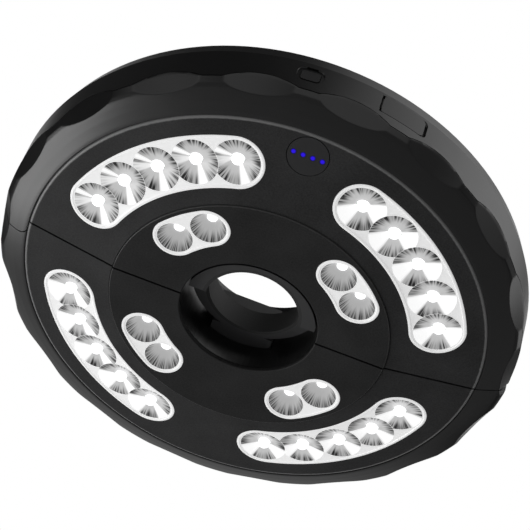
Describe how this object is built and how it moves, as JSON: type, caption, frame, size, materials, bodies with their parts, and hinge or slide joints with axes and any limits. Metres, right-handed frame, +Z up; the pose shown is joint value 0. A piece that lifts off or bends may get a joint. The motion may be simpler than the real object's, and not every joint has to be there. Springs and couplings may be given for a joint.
{
  "type": "parasol pole light",
  "caption": "Round battery light that clips round a parasol pole: hinged half discs with recessed lamps underneath, sprung pole jaws, a push button and a covered charging port.",
  "frame": {"origin": "on the pole axis, in the plane of the hub plate's lit face, which is the lowest plane of the light", "axes": "+Z up along the pole, away from the lit face; +X along the split towards the hinge pin; +Y towards the swing half"},
  "size_m": [0.2, 0.2, 0.0365],
  "materials": {
    "shell": "satin black moulding",
    "face": "fine grained black sheet moulding",
    "reflector": "metallised silver, fluted bowls",
    "led": "clear domed lamp",
    "board": "glass fibre board, solder mask",
    "window": "smoked clear window, frosted",
    "gauge_dot": "lit blue light pipe",
    "steel": "bright zinc plate",
    "switch": "moulded switch body",
    "plunger": "smooth",
    "button": "fine matt",
    "rubber": "matt rubber",
    "cell": "sleeved cell",
    "foam": "closed-cell foam",
    "jaw": "moulded, light grain",
    "red_lead": "insulated wire",
    "black_lead": "insulated wire"
  },
  "bodies": {
    "main_half": {"main_top_shell": "shell", "main_lower_shell": "shell", "main_face_plate": "face", "main_hub_plate": "face", "main_outer_reflector_left": "reflector", "main_outer_reflector_right": "reflector", "main_inner_reflector_left": "reflector", "main_inner_reflector_right": "reflector", "main_outer_leds": "led", "main_inner_leds": "led", "main_led_board": "board", "gauge_window": "window", "gauge_light_pipes": "gauge_dot", "control_board": "board", "charge_socket": "steel", "power_switch": "switch", "main_cells": "cell", "main_cell_saddles": "foam", "hinge_pin": "steel", "hinge_spring": "steel", "main_jaw_spring": "steel", "main_guide_cap": "jaw", "main_shell_screws": "steel", "board_screws": "steel", "battery_lead": "red_lead", "link_lead": "black_lead"},
    "swing_half": {"swing_top_shell": "shell", "swing_lower_shell": "shell", "swing_face_plate": "face", "swing_hub_plate": "face", "swing_outer_reflector_left": "reflector", "swing_outer_reflector_right": "reflector", "swing_inner_reflector_left": "reflector", "swing_inner_reflector_right": "reflector", "swing_outer_leds": "led", "swing_inner_leds": "led", "swing_led_board": "board", "swing_cells": "cell", "swing_cell_saddles": "foam", "swing_jaw_spring": "steel", "swing_guide_cap": "jaw", "swing_shell_screws": "steel"},
    "main_jaw": {"main_jaw": "jaw", "main_jaw_pads": "rubber"},
    "swing_jaw": {"swing_jaw": "jaw", "swing_jaw_pad": "rubber"},
    "power_button": {"power_button": "button", "switch_plunger": "plunger"},
    "port_flap": {"port_flap": "rubber"}
  },
  "joints": [
    {"name": "half_hinge", "type": "hinge", "parent": "main_half", "child": "swing_half", "pos_m": [0.0968, 0, 0.026], "axis": [0, 0, -1], "range_deg": [0, 40], "stiffness_Nm_per_rad": 0.25, "springref_deg": -17.19, "deforming": ["hinge_spring", "link_lead"]},
    {"name": "main_jaw_slide", "type": "slide", "parent": "main_half", "child": "main_jaw", "axis": [0, -1, 0], "range_m": [-0.007, 0.005], "stiffness_N_per_m": 680, "deforming": ["main_jaw_spring"]},
    {"name": "swing_jaw_slide", "type": "slide", "parent": "swing_half", "child": "swing_jaw", "axis": [0, 1, 0], "range_m": [-0.007, 0.005], "stiffness_N_per_m": 680, "deforming": ["swing_jaw_spring"]},
    {"name": "power_button_press", "type": "slide", "parent": "main_half", "child": "power_button", "axis": [0.0993, 0.9951, 0], "range_m": [0, 0.0008], "stiffness_N_per_m": 600},
    {"name": "port_flap_open", "type": "hinge", "parent": "main_half", "child": "port_flap", "pos_m": [0.01708, -0.09782, 0.0238], "axis": [0, 0, -1], "range_deg": [0, 90]}
  ]
}
